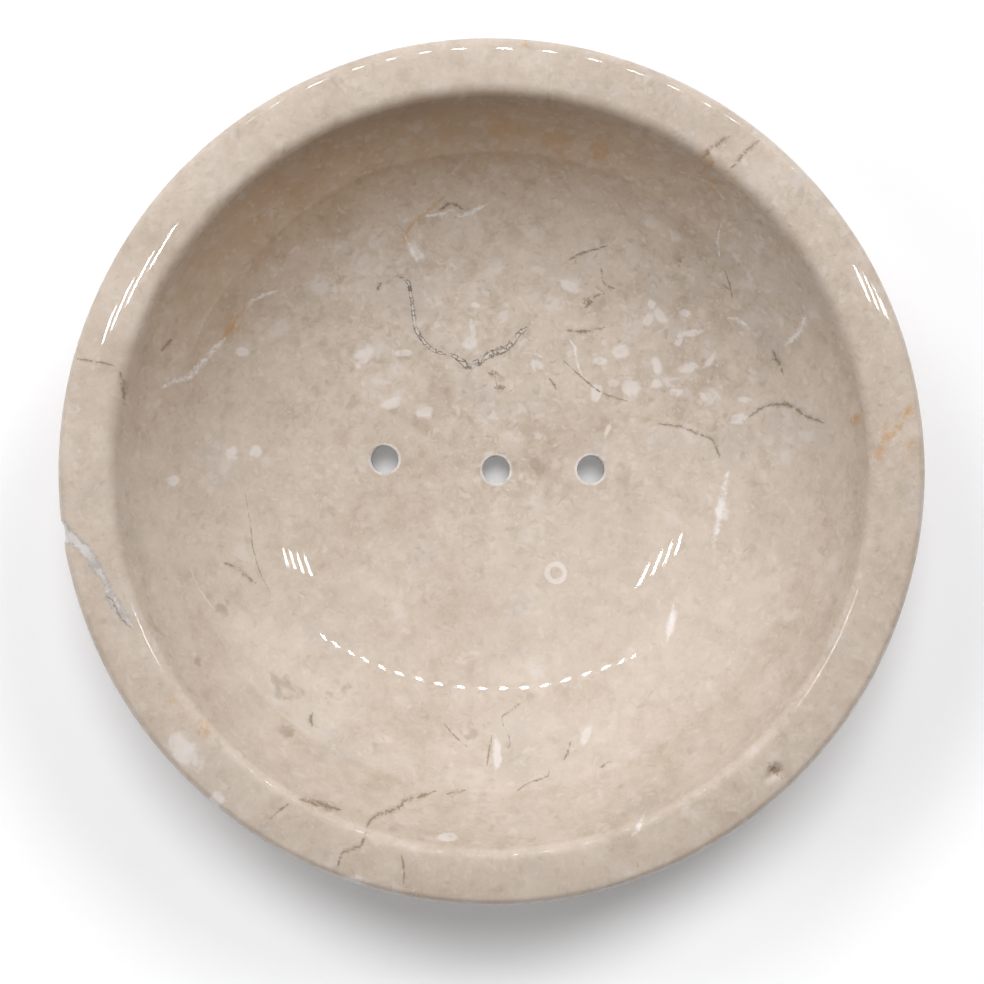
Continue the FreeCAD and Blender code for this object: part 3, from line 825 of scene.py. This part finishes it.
def rubber_look():
    look = Look("milky_rubber")
    place = look.millimetres()
    cloud = look.noise(place, scale=0.5, detail=4.0)
    grain = look.noise(place, scale=7.0, detail=2.0)
    _, dust = look.shards(place, scale=1.3, pale=0.0, dark=0.12, shape=(0.2, 0.1, 0.15))
    colour = look.mix(look.times(dust, 0.5), look.mix(cloud, RUBBER, RUBBER_PALE), DUST)
    rough = look.scale(grain, 0.42, 0.6)
    bump = look.node("Bump", {"Height": grain, "Strength": 0.25, "Distance": 0.05 * MM})
    look.set({"Base Color": colour, "Roughness": rough, "Normal": bump.outputs[0]})
    return look.material


def adhesive_look():
    look = Look("adhesive_film")
    stretched = look.vector("MULTIPLY", look.millimetres(), (1.0, 0.2, 1.0))
    fibres = look.noise(stretched, scale=4.0, detail=4.0, rough=0.7)
    bump = look.node("Bump", {"Height": fibres, "Strength": 0.2, "Distance": 0.03 * MM})
    colour = look.mix(fibres, FILM, FILM_PALE)
    rough = look.scale(fibres, 0.5, 0.7)
    look.set({"Base Color": colour, "Roughness": rough, "Normal": bump.outputs[0]})
    return look.material


def make_stone():
    points, faces = lathe(ABOVE + BELOW + [(0.0, BASE_Z)])
    stone = mesh_object("stone_dish", points, faces)
    normals = np.array([vertex.normal for vertex in stone.data.vertices])
    sunk = points - normals * flaws(points)[:, None]
    stone.data.vertices.foreach_set("co", (sunk * MM).ravel())
    drill(stone)
    mesh = stone.data
    mesh.shade_smooth()
    mesh.set_sharp_from_angle(angle=SHARP_ANGLE)
    add_marks(mesh)
    mesh.materials.clear()
    mesh.materials.append(StoneLook().material)
    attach(stone, "root")
    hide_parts("stone_bowl")


def dress_feet():
    looks = {"foot_adhesive_": (adhesive_look(), "adhesive"), "foot_": (rubber_look(), "foot_rubber")}
    for name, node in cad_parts.items():
        for start, (look, slot) in looks.items():
            if name.startswith(start):
                node.data.materials.clear()
                node.data.materials.append(look)
                break


# Soft distant lights: (strength, degrees from overhead, degrees anticlockwise from +X)
SOFT_LIGHTS = [(1.6, 22, 90), (0.85, 45, 130), (1.1, 45, 50), (0.45, 45, 180), (0.2, 65, 90),
               (0.32, 65, 180), (0.2, 65, 0)]
SOFT_ANGLE = math.radians(22)
AMBIENT = 0.04
ROOM = (0.0, 1.1)           # how bright the room is in the polish, in front of the dish and behind it
ROOM_SPAN = (-0.35, 0.6)    # how far a reflection points to the back where the room is so bright


def make_soft_lights():
    for number, (strength, zenith, azimuth) in enumerate(SOFT_LIGHTS):
        lamp = bpy.data.lights.new("soft_light_%d" % number, "SUN")
        lamp.energy = strength
        lamp.angle = SOFT_ANGLE
        holder = bpy.data.objects.new(lamp.name, lamp)
        holder.rotation_euler = (0, math.radians(zenith), math.radians(azimuth))
        holder.visible_glossy = False
        bpy.context.scene.collection.objects.link(holder)


# Rows of small lamps overhead that only the polish shows: start, end, number of lamps, size along X and Y
LAMP_HEIGHT = 600.0
LAMP_ROWS = {
    "back_row": ((-300, 400), (373, 374), 18, (12, 14)),
    "right_arm": ((280, 148), (393, 166), 4, (8, 32)),
    "left_arm": ((-262, 107), (-164, 112), 4, (8, 28)),
}
LAMP_STRENGTH = 60.0


def make_lamp_rows():
    look = bpy.data.materials.new("lamp")
    look.use_nodes = True
    tree = look.node_tree
    tree.nodes.clear()
    glow = tree.nodes.new("ShaderNodeEmission")
    glow.inputs["Strength"].default_value = LAMP_STRENGTH
    output = tree.nodes.new("ShaderNodeOutputMaterial")
    tree.links.new(glow.outputs[0], output.inputs["Surface"])
    for name, (start, end, count, (wide, long)) in LAMP_ROWS.items():
        points, faces = [], []
        for k in range(count):
            x, y = np.array(start) + (np.array(end) - start) * k / (count - 1)
            faces.append(tuple(range(len(points), len(points) + 4)))
            points += [(x + dx * wide / 2, y + dy * long / 2, LAMP_HEIGHT)
                       for dx, dy in ((-1, -1), (-1, 1), (1, 1), (1, -1))]
        row = mesh_object(name, np.array(points), faces)
        row.data.materials.append(look)
        row.visible_camera = False
        row.visible_diffuse = False
        row.visible_shadow = False


FLOOR_SIZE = 6000.0
FLOOR_COLOUR = rgb(0.80, 0.80, 0.81)
FLOOR_LIFT = 0.13           # what the camera sees beside the light on the floor, so that it is white
PAINTED_LIGHT_UNDER_STONE = 0.2      # painted light: more under the stone, a brighter floor seen through the holes in its thin floor
PAINTED_LIGHT_UNDER_STONE_R = 30.0


def make_floor():
    half = FLOOR_SIZE / 2
    corners = np.array([(-half, -half, 0), (half, -half, 0), (half, half, 0), (-half, half, 0)])
    floor = mesh_object("floor", corners, [(0, 1, 2, 3)])
    look = Look("pale_floor")
    path = look.node("LightPath").outputs
    seen = look.math("MAXIMUM", path["Is Camera Ray"], path["Is Glossy Ray"])
    seen = look.math("MAXIMUM", seen, path["Is Transmission Ray"])
    from_axis = look.vector("LENGTH", look.node("TexCoord").outputs["Object"])
    # painted light: the floor under the stone glows brighter, as if lit through the holes
    under = look.fade(from_axis, PAINTED_LIGHT_UNDER_STONE_R * MM, 0.5 * PAINTED_LIGHT_UNDER_STONE_R * MM)
    lift_and_painted_light = look.scale(under, FLOOR_LIFT, PAINTED_LIGHT_UNDER_STONE)
    look.set({"Base Color": FLOOR_COLOUR, "Roughness": 1.0, "Specular IOR Level": 0.0,
              "Emission Color": rgb(1, 1, 1), "Emission Strength": look.times(seen, lift_and_painted_light)})
    floor.data.materials.append(look.material)


def make_world():
    """White to the camera, faint to the stone, and to its polish a room that is darker towards the front."""
    world = bpy.data.worlds.new("studio")
    world.use_nodes = True
    tree = world.node_tree
    nodes, links = tree.nodes, tree.links
    path = nodes.new("ShaderNodeLightPath").outputs
    ways = nodes.new("ShaderNodeSeparateXYZ")
    links.new(nodes.new("ShaderNodeTexCoord").outputs["Generated"], ways.inputs[0])
    front_to_back = nodes.new("ShaderNodeMapRange")
    links.new(ways.outputs["Y"], front_to_back.inputs["Value"])
    for name, value in zip(("From Min", "From Max", "To Min", "To Max"), (*ROOM_SPAN, *ROOM)):
        front_to_back.inputs[name].default_value = value
    strength = nodes["Background"].inputs["Strength"]
    mirrored, seen = (nodes.new("ShaderNodeMix") for _ in range(2))
    mirrored.inputs["A"].default_value = AMBIENT
    links.new(path["Is Glossy Ray"], mirrored.inputs["Factor"])
    links.new(front_to_back.outputs[0], mirrored.inputs["B"])
    links.new(path["Is Camera Ray"], seen.inputs["Factor"])
    links.new(mirrored.outputs["Result"], seen.inputs["A"])
    seen.inputs["B"].default_value = 1.0
    links.new(seen.outputs["Result"], strength)
    nodes["Background"].inputs["Color"].default_value = rgb(1, 1, 1)
    bpy.context.scene.world = world


def make_camera():
    lens = bpy.data.cameras.new("camera")
    lens.sensor_width = SENSOR_WIDTH
    lens.lens = lens.sensor_width * CAMERA_HEIGHT / (PHOTO_SIZE * PX_AT_RIM)
    lens.clip_start = CLIP_START * MM
    camera = bpy.data.objects.new("camera", lens)
    camera.location = Vector((CAMERA_X, CAMERA_Y, TOP_Z + CAMERA_HEIGHT)) * MM
    bpy.context.scene.collection.objects.link(camera)
    bpy.context.scene.camera = camera


make_stone()
dress_feet()
make_floor()
make_world()
make_soft_lights()
make_lamp_rows()
make_camera()
bpy.context.scene.view_settings.view_transform = "Standard"
